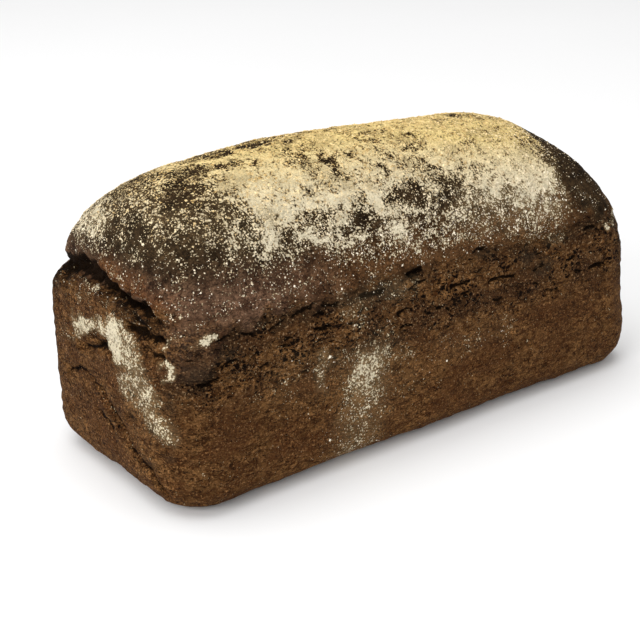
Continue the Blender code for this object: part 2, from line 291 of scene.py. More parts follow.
# Places where the flour is thin: middle, radii and share that is missing
BARE_SPOTS = (
    ((-0.046, 0.001, 0.114), (0.01, 0.0034, 0.01), 0.92),
    ((-0.061, -0.001, 0.114), (0.007, 0.0028, 0.01), 0.72),
    ((-0.052, 0.006, 0.114), (0.024, 0.01, 0.02), 0.56),
    ((-0.065, -0.011, 0.112), (0.006, 0.003, 0.01), 0.55),
    ((-0.076, -0.006, 0.112), (0.009, 0.004, 0.01), 0.4),
    ((-0.079, -0.025, 0.104), (0.006, 0.006, 0.006), 0.35),
    ((-0.045, -0.036, 0.094), (0.008, 0.006, 0.005), 0.55),
    ((-0.06, -0.037, 0.092), (0.006, 0.006, 0.0035), 0.6),
    ((-0.035, -0.039, 0.0885), (0.005, 0.005, 0.004), 0.4),
    ((-0.039, -0.027, 0.103), (0.006, 0.003, 0.006), 0.28),
    ((-0.037, -0.014, 0.11), (0.003, 0.0045, 0.01), 0.5),
    ((-0.028, -0.018, 0.108), (0.006, 0.0025, 0.01), 0.6),
    ((-0.038, -0.024, 0.106), (0.002, 0.006, 0.01), 0.45),
    ((-0.034, -0.028, 0.104), (0.005, 0.002, 0.01), 0.45),
    ((-0.002, -0.014, 0.109), (0.004, 0.006, 0.01), 0.35),
    ((0.006, -0.006, 0.11), (0.005, 0.004, 0.01), 0.35),
    ((0.01, -0.024, 0.105), (0.007, 0.004, 0.01), 0.25),
    ((0.048, -0.004, 0.107), (0.005, 0.004, 0.01), 0.35),
    ((0.058, -0.006, 0.106), (0.005, 0.0035, 0.01), 0.45),
    ((-0.086, -0.012, 0.106), (0.005, 0.0016, 0.005), 0.9),
    ((-0.087, -0.016, 0.104), (0.012, 0.01, 0.012), 0.14),
    ((-0.062, -0.036, 0.092), (0.008, 0.007, 0.004), 0.45),
    ((-0.026, -0.038, 0.089), (0.01, 0.007, 0.005), 0.4),
    ((-0.004, -0.036, 0.095), (0.011, 0.007, 0.004), 0.45),
    ((0.019, -0.036, 0.093), (0.01, 0.007, 0.005), 0.42),
    ((0.072, -0.03, 0.096), (0.004, 0.006, 0.006), 0.5),
)
# Places where the crust is scorched grey-brown: middle, radii and strength
BRUISES = (
    ((-0.03, -0.047, 0.07), (0.005, 0.01, 0.0022), 0.55),
    ((-0.0215, -0.048, 0.0655), (0.0095, 0.01, 0.0042), 0.9),
    ((-0.1045, -0.048, 0.0565), (0.006, 0.01, 0.004), 0.7),
    ((-0.093, -0.049, 0.06), (0.006, 0.01, 0.003), 0.6),
    ((-0.117, -0.0195, 0.0338), (0.01, 0.0024, 0.002), 0.8),
    ((-0.117, -0.0128, 0.0313), (0.01, 0.001, 0.001), 0.8),
    ((-0.1165, -0.034, 0.0345), (0.01, 0.003, 0.0018), 0.8),
    ((-0.1168, -0.031, 0.0203), (0.01, 0.004, 0.002), 0.7),
    ((-0.1142, -0.0401, 0.025), (0.01, 0.002, 0.0022), 0.6),
    ((-0.1135, -0.0413, 0.044), (0.004, 0.002, 0.006), 0.6),
    ((0.025, -0.0475, 0.0685), (0.005, 0.01, 0.0022), 0.6),
    ((0.048, -0.0487, 0.0625), (0.005, 0.01, 0.003), 0.85),
    ((0.056, -0.0496, 0.0573), (0.006, 0.01, 0.003), 0.85),
    ((0.01, 0.048, 0.066), (0.011, 0.01, 0.004), 0.8),
    ((-0.07, 0.049, 0.062), (0.009, 0.01, 0.0035), 0.7),
)
# Painted light and shade along the long walls: x and the share by which their colour is brightened or
# darkened
WALL_PAINTED_LIGHT = (
    (-0.117, 1.07),
    (-0.108, 0.9),
    (-0.095, 0.98),
    (-0.075, 1.05),
    (-0.045, 1.13),
    (-0.01, 1.13),
    (0.03, 1.04),
    (0.075, 1.0),
)
PATCH_BORDER = (0.35, 1.45)  # where a patch is full and where it has gone, in radii
STROKE_BORDER = (0.3, 1.9)  # the same for a stroke, in half widths
# Noise in the flour: size, height and seed of each layer
FLOUR_EDGE = ((0.016, 0.005, 51), (0.006, 0.003, 52))  # heights by which its lower edge is moved
FLOUR_CLOUDS = ((0.013, 0.28, 54), (0.0055, 0.24, 55))
FLOUR_SPECKLE = ((0.008, 0.1, 60),)
SMUDGE_SPECKLE = ((0.004, 0.2, 53),)
SPECKLE_START = (0.15, 0.4)  # density of the flour over which its speckle comes in
FLOUR_SHAKE = ((0.007, 0.003), (0.0028, 0.0016))  # size and distance by which its patches are shifted
# Small patches where the flour is torn away
TORN_FLOUR_STRETCH = (2.0, 1.0, 1.0)
TORN_FLOUR_SIZE = 0.0042
TORN_FLOUR_SPAN = (0.3, 0.85)  # the noise over which a patch deepens
TORN_FLOUR_SHARE = 0.5  # share of the flour that is missing in it
# The flour's right edge waves more behind the crown
BACK_EDGE_WAVE = 0.012
BACK_EDGE_SIZE = 0.018  # length of such a wave
# Fine dust over the whole crown, less of it by the right end and more by the left
DUST = 0.15
DUST_LOST = 0.05
DUST_ADDED = 0.04

# Caked flour: its height, its lumps, the density at which it comes in, and the cracks too deep for it
CAKE_HEIGHT = 0.00035
CAKE_LUMPS = ((0.0024, 0.8, 71),)
CAKE_START = (0.2, 0.6)
FLOURLESS_DEPTH = (0.0006, 0.0018)
DARKEST_SHADE_DEPTH = 0.0012  # a crack this deep gets the darkest painted shade
TEAR_SHADE_AS_CRACK = (0.3, 0.14)  # how much painted shade the left and the right tear get beside a crack of their depth

# Zones of the loaf. Each span has an axis, where the zone is zero and where it is full
ZONES = {
    "edge drop": ((X, -0.088, -0.108),),
    "torn": ((X, -0.100, -0.108), (Y, -0.043, -0.034)),
    "brink": ((X, -0.100, -0.108), (Y, 0.012, 0.026)),
    "creases": ((X, -0.106, -0.112),),
    "walls": ((Z, 0.078, 0.066),),
    "dust": ((Z, 0.060, 0.076),),
    "less dust": ((X, 0.068, 0.080),),
    "more dust": ((X, -0.040, -0.065),),
    "dusty right": ((X, 0.005, 0.030), (Z, 0.070, 0.076), (Z, 0.098, 0.088)),
    "dusty left": ((X, -0.045, -0.065), (Z, 0.084, 0.094), (Z, 0.110, 0.104)),
    "crown veil": ((Z, 0.062, 0.074),),
    "worn": ((Z, 0.088, 0.100),),
    "back edge": ((Y, -0.005, 0.020), (X, 0.020, 0.050)),
    "end skin": ((Z, 0.0750, 0.0785),),
    "hidden skin": ((X, -0.080, -0.100), (Z, 0.078, 0.064)),
    "purple": ((X, -0.025, -0.085),),
    "bake": ((Z, 0.076, 0.092),),
    "lip": ((X, -0.098, -0.106), (Y, -0.042, -0.034), (Y, 0.012, 0.0)),
    "band": ((Z, 0.036, 0.052),),
    "end band": ((Z, 0.008, 0.030),),
    "under crown": ((Z, 0.074, 0.068),),
    "end walls": ((Z, 0.080, 0.070),),
    "all grains": ((Z, 0.064, 0.080),),
    "fewer grains": ((X, -0.060, -0.080),),
}

# What the material reads from the zones. A pair says where something comes in and where it is full
ZONE_BLUR = ((0.005, 0.003, 72), (0.002, 0.0015, 73))  # how ragged their borders are
WARM_SLANTS = (0.04, 0.16)  # fall of the warm flour's border to the right, left and right of the middle
WARM_START = 0.082
WARM_CLIMB = 0.03  # height over which the flour turns warm
WORN_LAYERS = ((0.009, 1.0, 74), (0.0042, 0.6, 75))
WORN_SPAN = (0.05, 0.8)
WELL_FLOURED = (((-0.052, -0.022, 0.104), (0.014, 0.012, 0.015), 0.8),)
WALL_VEIL = 0.46
CROWN_VEIL = 0.025
DUSTY = {"dusty right": 0.4, "dusty left": 0.12}  # how much more the dust veils two zones
SKIN_BLEND = (-0.003, 0.003)
HIDDEN_SKIN = 0.8  # share of the skin that the broken wall hides low down by the left end
BAKE_X = (0.068, 0.082)
BAKE_LEAN = 0.5
BAKE_LEVEL = 0.08
LIP_START = (0.0005, 0.002)
LIP_STOP = (0.003, 0.01)
# Painted shade under the skin's overhanging edge on the long walls: distances under that edge where it comes
# in and where it fades
LEDGE_SHADE_START = (-0.001, 0.001)
LEDGE_SHADE_STOP = (0.004, 0.011)
END_BAND = 0.35  # how broken the end walls are beside the long ones
END_ROUGHNESS = 0.4
BRUISE_BLUR = 0.6

# How finely the crust is ruled along X, Y and Z: from, to and number of cells
RULES = (
    ((-0.117, -0.1, 20), (-0.1, 0.1, 198), (0.1, 0.117, 14)),
    ((-0.05, 0.05, 78),),
    ((0.0, 0.04, 24), (0.04, 0.06, 32), (0.06, 0.083, 42), (0.083, 0.113, 16)),
)

# Grains of loose flour: how many, mean size and the least density of flour that they lie on
GRAIN_KINDS = {
    "flour_grains_fine": (24500, 0.00036, 0.05),
    "flour_grains_coarse": (9000, 0.00064, 0.1),
}
GRAIN_CLUMP = 0.0022
GRAINS_CLUMPED = 1.2  # how strongly they gather in clumps
GRAINS_CAKED = 0.35  # share of them that a closed cake of flour swallows
GRAINS_ON_WALLS = 0.3
GRAINS_LOST = 0.3  # share of them that is missing by the left end
GRAIN_CHANCE = 0.9  # the higher, the fewer of the places that are tried get a grain
GRAIN_TRIES = 9  # places that are tried for each grain
GRAIN_RADII = (0.5, 0.5, 0.34)  # across, across and out from the crust, in sizes
GRAIN_UNEVENNESS = (0.45, 1.25)
GRAIN_SPREAD = 0.3  # how unlike in size the grains are
GRAIN_LIFT = 0.08  # how far its middle is above the crust, in sizes
OCTAHEDRON = ((1, 0, 0), (-1, 0, 0), (0, 1, 0), (0, -1, 0), (0, 0, 1), (0, 0, -1))
OCTAHEDRON_SIDES = ((0, 2, 4), (2, 1, 4), (1, 3, 4), (3, 0, 4), (2, 0, 5), (1, 2, 5), (3, 1, 5), (0, 3, 5))

# The studio. Each light has its place, its size and its power
LIGHTS = {
    "overhead": ((-0.3, 0.3, 2.2), 2.4, 38.0),
    "left": ((-1.35, -0.45, 0.8), 0.8, 11.0),
    "front": ((-0.7, -1.4, 0.8), 0.9, 5.6),
}
LIGHT_AIM = (0.0, 0.0, 0.05)
SURROUND_STRENGTH = 0.45
FLOOR_REACH = 6.0

# Camera, solved from the outline of the loaf in the photo
CAMERA_PLACE = (-0.3248, -0.4145, 0.2487)
CAMERA_YAW = 36.43
CAMERA_PITCH = 22.26
CAMERA_ROLL = -1.3
CAMERA_LENS = 78.75
SENSOR_WIDTH = 36.0


def ease(value, start, end):
    """Zero before start, one after end, and a smooth climb between them."""
    share = np.clip((value - start) / (end - start), 0.0, 1.0)
    return share * share * (3.0 - 2.0 * share)


def blended_max(a, b, width):
    """The larger of two values, rounded off where they are nearly equal."""
    near = np.maximum(width - np.abs(a - b), 0.0) / width
    return np.maximum(a, b) + near * near * width / 4


def noise(points, size, seed):
    """Smooth random values from -1 to 1, whose bumps are about as large as size."""
    table = np.random.default_rng(seed).uniform(-1.0, 1.0, (NOISE_PERIOD,) * 3)
    place = points / size
    low = np.floor(place).astype(int)
    share = place - low
    share = share * share * (3.0 - 2.0 * share)
    total = np.zeros(len(points))
    for corner in itertools.product((0, 1), repeat=3):
        weight = np.prod(np.where(corner, share, 1.0 - share), axis=1)
        total += weight * table[tuple(((low + corner) % NOISE_PERIOD).T)]
    return total


def zone(points, name):
    """One inside a zone of the loaf, fading to zero past each of its spans."""
    return np.prod([ease(points[:, axis], start, end) for axis, start, end in ZONES[name]], axis=0)


def layered(points, layers):
    """The sum of several layers of noise: each has a size, a height and a seed."""
    return sum(height * noise(points, size, seed) for size, height, seed in layers)


def shifted(points, layers, seeds):
    """The points, moved a little in a smooth random way: each layer has a size and a distance."""
    moved = points.copy()
    for size, distance in layers:
        moved += distance * np.stack([noise(points, size, seed) for seed in seeds], axis=1)
    return moved


def tin_wall(x, y, z):
    """Signed distance to the upright walls: a rounded rectangle whose right end leans in."""
    climb = np.clip(z / RIM_HEIGHT, 0.0, 1.3)
    left = -LENGTH / 2
    right = LENGTH / 2 - RIGHT_END_LEAN * climb
    past_x = np.abs(x - (left + right) / 2) - ((right - left) / 2 - CORNER_RADIUS)
    past_y = np.abs(y) - (WIDTH / 2 - CORNER_RADIUS)
    corner = np.hypot(np.maximum(past_x, 0.0), np.maximum(past_y, 0.0))
    return corner + np.minimum(np.maximum(past_x, past_y), 0.0) - CORNER_RADIUS


def fall(share, power):
    """A crown profile: one in the middle, zero at the wall and below zero past it."""
    return np.sign(share) * np.abs(share) ** power


def crown_top(x, y):
    """Height of the crown's surface above a place on the base."""
    right = LENGTH / 2 - RIGHT_END_LEAN
    along = np.where(x < 0.0, -x / (LENGTH / 2), x / right)
    shoulder = np.where(x < 0.0, LEFT_SHOULDER, RIGHT_SHOULDER)
    end_fall = fall(np.maximum(1.0 - np.clip(along, 0.0, 1.2) ** shoulder, -0.5), SHOULDER_FALL)
    side_fall = fall(np.maximum(1.0 - (np.abs(y) / (WIDTH / 2)) ** 2, -0.6), SIDE_FALL)
    height = CROWN_HEIGHT * (1.0 + CROWN_TILT * x - CROWN_ARCH * x * x)
    return RIM_HEIGHT + height * end_fall * side_fall


def form(points):
    """The smooth loaf as a field: below zero inside it, zero on its surface."""
    x, y, z = points.T
    body = blended_max(tin_wall(x, y, z), z - crown_top(x, y), RIM_ROUNDING)
    return blended_max(body, -z, BASE_ROUNDING)


def onto_form(points):
    """Moves points along rays from the loaf's spine until they lie on the smooth form."""
    anchor = np.zeros_like(points)
    reach = LENGTH / 2 - SPINE_END
    anchor[:, 0] = np.clip(points[:, 0], -reach, reach)
    anchor[:, 2] = SPINE_HEIGHT
    ray = points - anchor
    near = np.zeros(len(points))
    far = np.full(len(points), RAY_REACH)
    for _ in range(ROOT_STEPS):
        middle = (near + far) / 2
        inside = form(anchor + ray * middle[:, None]) < 0.0
        near = np.where(inside, middle, near)
        far = np.where(inside, far, middle)
    return anchor + ray * near[:, None]


def outward(points):
    """Unit directions that point out of the smooth form."""
    slope = [form(points + shift) - form(points - shift) for shift in np.eye(3) * SLOPE_STEP]
    slope = np.stack(slope, axis=1)
    return slope / np.linalg.norm(slope, axis=1)[:, None]


def groove(distance, half_width):
    """A rounded groove's share of its full depth at a distance from its middle line."""
    return np.exp(-((distance / half_width) ** 2))


def splits(y, z, rows):
    """Depth of the short splits in an end wall."""
    depth = np.zeros(len(y))
    for middle_y, middle_z, half_length, half_width, deepest in rows:
        along = np.clip(np.abs(y - middle_y) - half_length, 0.0, None)
        depth += deepest * groove(np.hypot(along, z - middle_z), half_width)
    return depth


def tear(y, z, rows):
    """Depth of a tear that runs across an end wall."""
    row_y, *profile = zip(*rows, strict=True)
    height, half_width, depth = (np.interp(y, row_y, column) for column in profile)
    return depth * groove(z - height, half_width)


def torn_ends(points):
    """Depth of everything that is torn into the two end walls, with ragged edges and crumb inside."""
    x, y, z = points.T
    z = z + TEAR_WOBBLE * layered(points, TEAR_WAVES)
    left = tear(y, z, LEFT_TEAR) + splits(y, z, LEFT_SPLITS)
    right = tear(y, z, RIGHT_TEAR) + splits(y, z, RIGHT_SPLITS)
    depth = ease(-x, *TEAR_REACH) * left + ease(x, *TEAR_REACH) * right
    crumb = TEAR_CRUMB * noise(points, TEAR_CRUMB_SIZE, 43) * ease(depth, *TEAR_CRUMB_DEPTH)
    return depth + crumb


def skin_edge(points):
    """Height of the crown skin's ragged lower edge on the long walls."""
    long, short = SKIN_EDGE_SIZES
    wave = SKIN_EDGE_WAVE * noise(points * (1.0, 0.0, 0.0), long, 21)
    ragged = SKIN_EDGE_RAGS * noise(points * (1.0, 1.0, 0.0), short, 23)
    return SKIN_EDGE_HEIGHT + wave + ragged - SKIN_EDGE_DROP * zone(points, "edge drop")


def on_long_wall(points):
    """One on the two long walls, fading to zero round the corners."""
    return ease(np.abs(points[:, 1]), *LONG_WALLS)


def shred(points):
    """Depth of the shredded band on the long walls, with ridges that run along the loaf."""
    under_edge = skin_edge(points) - points[:, 2]
    band = ease(under_edge, *SHRED_START) * (1.0 - ease(under_edge, SHRED_START[1], SHRED_FADE))
    ridges = SHRED_RIDGE_HEIGHT * noise(points / SHRED_RIDGES, 1.0, 22)
    ridges += FINE_RIDGE_HEIGHT * noise(points / FINE_RIDGES, 1.0, 24)
    return on_long_wall(points) * band * (SHRED_DEPTH + ridges)


def random_cracks(seed, count, longest, widest, deepest):
    """Cracks like those that show, at seeded places along a long wall."""
    rng = np.random.default_rng(seed)
    rows = []
    for _ in range(count):
        x = rng.uniform(*CRACK_SPAN)
        z = np.clip(rng.normal(*CRACK_HEIGHT), *CRACK_LIMITS)
        size = rng.uniform(0.25, 1.0) ** 1.5
        slope = rng.normal(*CRACK_SLOPE)
        half_width = widest * (0.6 + 0.4 * size)
        rows.append((x, z, longest * size, half_width, deepest * (0.4 + 0.6 * size), slope))
    return rows


def cracks(points, rows, side):
    """Depth of the cracks in one long wall. The side is -1 for the front and 1 for the back."""
    x, y, z = points.T
    depth = np.zeros(len(points))
    on_wall = side * y > 0.034
    for middle_x, middle_z, half_length, half_width, deepest, slope in rows:
        reach = half_length + 4 * half_width
        near = on_wall & (np.abs(x - middle_x) < reach) & (np.abs(z - middle_z) < reach)
        past_x = x[near] - middle_x
        along = np.clip(np.abs(past_x) - half_length, 0.0, None)
        across = z[near] - middle_z - slope * past_x
        depth[near] = np.maximum(depth[near], deepest * groove(np.hypot(along, across), half_width))
    return depth


def creases(points):
    """The creases of the left end wall: their depth, the distance to the nearest one and how strongly painted
    shade marks it.

    The distance is below zero on one side of a crease, so that its middle line is where it is zero.
    """
    place = points[:, 1:]
    nearest, signed = np.full((2, len(points)), 1.0)
    depth, crease_shade_share = np.zeros((2, len(points)))
    for path, half_width, deepest in LEFT_CREASES:
        path = np.array(path)
        lengths = np.linalg.norm(np.diff(path, axis=0), axis=1)
        for number, (start, end) in enumerate(itertools.pairwise(path)):
            run = (end - start) / lengths[number]
            along = np.clip((place - start) @ run, 0.0, lengths[number])
            offset = place - start - along[:, None] * run
            gap = np.linalg.norm(offset, axis=1)
            side = np.where(run[0] * offset[:, 1] < run[1] * offset[:, 0], -1.0, 1.0)
            done = lengths[:number].sum() + along
            to_end = np.minimum(done, lengths.sum() - done)
            closer = gap < nearest
            nearest = np.where(closer, gap, nearest)
            signed = np.where(closer, side * gap, signed)
            crease_shade_share = np.where(closer, 0.3 + 0.7 * ease(to_end, 0.0, CREASE_TAPER), crease_shade_share)
            depth = np.maximum(depth, deepest * groove(gap, half_width))
    on_end = zone(points, "creases")
    return depth * on_end, signed, crease_shade_share * on_end * (1.0 - ease(nearest, *CREASE_BORDER))


def patches(points, rows):
    """The strongest of several soft patches at each point: each row has a middle, radii and a strength."""
    strongest = np.zeros(len(points))
    for middle, radii, strength in rows:
        gap = np.linalg.norm((points - middle) / radii, axis=1)
        strongest = np.maximum(strongest, strength * (1.0 - ease(gap, *PATCH_BORDER)))
    return strongest


def strokes(points, rows):
    """The strongest of several soft strokes: each row has a start, an end, half a width and a strength."""
    strongest = np.zeros(len(points))
    for start, end, half_width, strength in rows:
        run = np.subtract(end, start)
        share = np.clip((points - start) @ run / (run @ run), 0.0, 1.0)
        gap = np.linalg.norm(points - start - share[:, None] * run, axis=1)
        core, border = (share * half_width for share in STROKE_BORDER)
        strongest = np.maximum(strongest, strength * (1.0 - ease(gap, core, border)))
    return strongest


def crown_flour(points, shaken):
    """How thickly the flour lies on the crown, with bare spots, clouds and torn patches."""
    row_x, *profile = zip(*CROWN_FLOUR, strict=True)
    start, full, densest = (np.interp(shaken[:, 0], row_x, column) for column in profile)
    height = points[:, 2] + layered(points, FLOUR_EDGE)
    crown = densest * np.clip((height - start) / (full - start), 0.0, 1.0) ** FLOUR_CLIMB
    crown *= 1.0 - patches(shaken, BARE_SPOTS)
    torn = ease(noise(shaken / TORN_FLOUR_STRETCH, TORN_FLOUR_SIZE, 59), *TORN_FLOUR_SPAN)
    crown *= 1.0 + layered(points, FLOUR_CLOUDS) - TORN_FLOUR_SHARE * torn
    return crown + layered(points, FLOUR_SPECKLE) * ease(crown, *SPECKLE_START)


def flour_density(points):
    """How thickly the flour lies, from none at zero to a closed cake at one."""
    shaken = shifted(points, FLOUR_SHAKE, (56, 57, 58))
    shaken[:, 0] += BACK_EDGE_WAVE * zone(points, "back edge") * noise(points, BACK_EDGE_SIZE, 69)
    crown = crown_flour(points, shaken)
    smudge = strokes(shaken, FLOUR_STROKES) * (1.0 + layered(points, SMUDGE_SPECKLE))
    dust = DUST - DUST_LOST * zone(points, "less dust") + DUST_ADDED * zone(points, "more dust")
    dust *= zone(points, "dust")
    return np.clip(np.maximum(np.maximum(crown, smudge), dust), 0.0, 1.0)


def ruled_box():
    """A closed box of cells: its corners, and its four-sided faces as corner numbers."""
    lines = []
    for spans in RULES:
        places = [np.linspace(start, end, count + 1) for start, end, count in spans]
        lines.append(np.unique(np.round(np.concatenate(places), 6)))
    quads = []
    for axis in range(3):
        first, second = (axis + 1) % 3, (axis + 2) % 3
        i, j = np.indices((len(lines[first]) - 1, len(lines[second]) - 1)).reshape(2, -1)
        for side in (0, len(lines[axis]) - 1):
            ring = np.zeros((len(i), 4, 3), dtype=int)
            ring[:, :, axis] = side
            ring[:, :, first] = i[:, None] + (0, 1, 1, 0)
            ring[:, :, second] = j[:, None] + (0, 0, 1, 1)
            quads.append(ring if side else ring[:, ::-1])
    quads = np.concatenate(quads)
    corners, faces = np.unique(quads.reshape(-1, 3), axis=0, return_inverse=True)
    places = np.stack([line[corners[:, axis]] for axis, line in enumerate(lines)], axis=1)
    return places, faces.reshape(-1, 4)


def closed_base(places, faces):
    """The mesh of the crust, with the cells of its flat base joined into one face."""
    mesh = bpy.data.meshes.new("crust")
    mesh.from_pydata(places.tolist(), [], faces.tolist())
    bm = bmesh.new()
    bm.from_mesh(mesh)
    base = [face for face in bm.faces if max(vertex.co.z for vertex in face.verts) < FLAT]
    bmesh.ops.dissolve_faces(bm, faces=base, use_verts=True)
    bm.to_mesh(mesh)
    bm.free()
    return mesh


def mesh_points(mesh):
    """The places of a mesh's vertices."""
    places = np.empty(len(mesh.vertices) * 3)
    mesh.vertices.foreach_get("co", places)
    return places.reshape(-1, 3)


def store(mesh, name, values):
    """Keeps one number for each vertex, for the material to read."""
    attribute = mesh.attributes.new(name, "FLOAT", "POINT")
    attribute.data.foreach_set("value", values.astype(np.float32))


def above_left_tear(points):
    """Height of the points above the left tear's middle line."""
    row_y, height, *_ = zip(*LEFT_TEAR, strict=True)
    return points[:, 2] - np.interp(points[:, 1], row_y, height)


def torn_zone(points):
    """Where the left end wall is torn open: one round the tear, fading out away from it."""
    below = -above_left_tear(points)
    reach = np.interp(points[:, 1], *zip(*TORN_REACH, strict=True))
    torn = ease(below, *TORN_START) * (1.0 - ease(below, 0.5 * reach, 1.3 * reach))
    return torn * zone(points, "torn")


def crumbly_zone(points):
    """Where the crust is broken into crumbs: in the torn zone, and over the left tear's far half."""
    above = above_left_tear(points)
    brink = ease(above, *BRINK_START) * (1.0 - ease(above, *BRINK_STOP))
    return np.maximum(torn_zone(points), BRINK_SHARE * brink * zone(points, "brink"))


def crust_relief(points):
    """How far the crust stands out of the smooth form, the depth of its cracks and tears, and its creases
    with the painted shade along them.
    """
    front = [*FRONT_CRACKS, *random_cracks(61, *WALL_PORES)]
    back = [*random_cracks(62, *BACK_CRACKS), *random_cracks(63, *WALL_PORES)]
    wobbly = shifted(points, CRACK_WOBBLE, (64, 65, 66))
    cracked = np.maximum(cracks(wobbly, front, -1), cracks(wobbly, back, 1))
    torn = torn_ends(points)
    folded, fold, crease_shade_share = creases(wobbly)
    height = -shred(points) - torn - cracked - folded
    for middle, radius, swell in SWELLS:
        height += swell * groove(np.linalg.norm(points - middle, axis=1), radius)
    for size, lump, seed in LUMPS + FINE_LUMPS:
        height += lump * noise(points, size, seed)
    on_wall = zone(points, "walls")
    for sizes, ridge, seed in WALL_RIDGES:
        height += on_wall * ridge * noise(points / sizes, 1.0, seed)
    crumbly = crumbly_zone(points)
    for size, knob, seed in KNOBS:
        height += crumbly * knob * noise(points, size, seed)
    height *= ease(points[:, 2], 0.0, FLAT_BASE_EDGE)
    return height, cracked + FOLD_AS_CRACK * folded, torn, fold, crease_shade_share


def flour_zones(points):
    """Where the flour is warm in colour and where it is worn, and how much fine dust veils the crust."""
    x, _, z = points.T
    slant = np.where(x < 0.0, *WARM_SLANTS)
    worn = ease(layered(points, WORN_LAYERS), *WORN_SPAN) * zone(points, "worn")
    dusty = sum(share * zone(points, name) for name, share in DUSTY.items())
    return {
        "warm": np.clip((z + slant * x - WARM_START) / WARM_CLIMB, 0.0, 1.0) ** 3,
        "worn": worn * (1.0 - patches(points, WELL_FLOURED)),
        "veil": WALL_VEIL - (WALL_VEIL - CROWN_VEIL) * zone(points, "crown veil") + dusty,
    }


def skin_zones(points, blur):
    """Where the smooth skin is, where it is purple or baked hard, and the bare lip over the left tear."""
    x, _, z = points.T
    on_wall = on_long_wall(points)
    above_edge = ease(z + blur - skin_edge(points), *SKIN_BLEND)
    above_edge *= 1.0 - HIDDEN_SKIN * zone(points, "hidden skin")
    above_tear = above_left_tear(points) + blur
    lip = ease(above_tear, *LIP_START) * (1.0 - ease(above_tear, *LIP_STOP))
    return {
        "skin": on_wall * above_edge + (1.0 - on_wall) * zone(points, "end skin"),
        "purple": zone(points, "purple"),
        "bake": np.maximum(zone(points, "bake"), ease(x + BAKE_LEAN * (z - BAKE_LEVEL), *BAKE_X)),
        "lip": lip * zone(points, "lip"),
    }


def wall_zones(points, blur):
    """Where the walls are broken, torn, scorched or rough, the painted shade under the skin's edge, and the
    painted light and shade along them.
    """
    on_wall = on_long_wall(points)
    under_edge = skin_edge(points) + blur - points[:, 2]
    # Painted shade right under the skin's overhanging edge
    ledge_shade = ease(under_edge, *LEDGE_SHADE_START) * (1.0 - ease(under_edge, *LEDGE_SHADE_STOP))
    broken = on_wall * zone(points, "band") + END_BAND * (1.0 - on_wall) * zone(points, "end band")
    return {
        # Painted light and shade along the walls
        "tone": np.interp(points[:, 0], *zip(*WALL_PAINTED_LIGHT, strict=True)),
        "rough": 1.0 + END_ROUGHNESS * (1.0 - on_wall) * zone(points, "end walls"),
        "torn": torn_zone(points),
        "ledge_shade": on_wall * ledge_shade,
        "band": broken * zone(points, "under crown"),
        "bruise": patches(points + BRUISE_BLUR * blur[:, None], BRUISES),
    }


def add_object(name, data):
    """A new object in the scene."""
    new = bpy.data.objects.new(name, data)
    bpy.context.scene.collection.objects.link(new)
    return new


def make_crust():
    """The whole crust as one closed mesh, with its attributes."""
    places, faces = ruled_box()
    mesh = closed_base(onto_form(places), faces)
    smooth = mesh_points(mesh)
    height, cracked, torn, fold, crease_shade_share = crust_relief(smooth)
    flour = flour_density(smooth)
    cake = CAKE_HEIGHT * flour * (1.0 + layered(smooth, CAKE_LUMPS))
    flour = flour * (1.0 - ease(cracked + torn, *FLOURLESS_DEPTH))
    raised = smooth + outward(smooth) * (height + cake * ease(flour, *CAKE_START))[:, None]
    mesh.vertices.foreach_set("co", raised.ravel())
    # Painted shade in the cracks, creases and tears, darker the deeper they are
    dark = (cracked + np.where(smooth[:, 0] < 0.0, *TEAR_SHADE_AS_CRACK) * torn) / DARKEST_SHADE_DEPTH
    blur = layered(smooth, ZONE_BLUR)
    zones = {"flour": flour, "crack_shade": np.clip(dark, 0.0, 1.0), "fold": fold, "folded": crease_shade_share}
    zones |= flour_zones(smooth) | skin_zones(smooth, blur) | wall_zones(smooth, blur)
    for name, values in zones.items():
        store(mesh, name, values)
    mesh.shade_smooth()
    return add_object("crust", mesh)


def surface_samples(mesh, count, rng):
    """Random places on a mesh, spread evenly over its area, with the face normals and the flour there."""
    mesh.calc_loop_triangles()
    corners = np.empty(len(mesh.loop_triangles) * 3, dtype=np.int32)
    mesh.loop_triangles.foreach_get("vertices", corners)
    corners = corners.reshape(-1, 3)
    triangle = mesh_points(mesh)[corners]
    normal = np.cross(triangle[:, 1] - triangle[:, 0], triangle[:, 2] - triangle[:, 0])
    area = np.linalg.norm(normal, axis=1)
    chosen = rng.choice(len(area), count, p=area / area.sum())
    a, b = rng.random((2, count, 1))
    over = a + b > 1.0
    a, b = np.where(over, 1.0 - a, a), np.where(over, 1.0 - b, b)
    origin, first, second = triangle[chosen].transpose(1, 0, 2)
    places = origin + a * (first - origin) + b * (second - origin)
    flour = np.empty(len(mesh.vertices), dtype=np.float32)
    mesh.attributes["flour"].data.foreach_get("value", flour)
    return places, normal[chosen] / area[chosen, None], flour[corners[chosen]].min(axis=1)


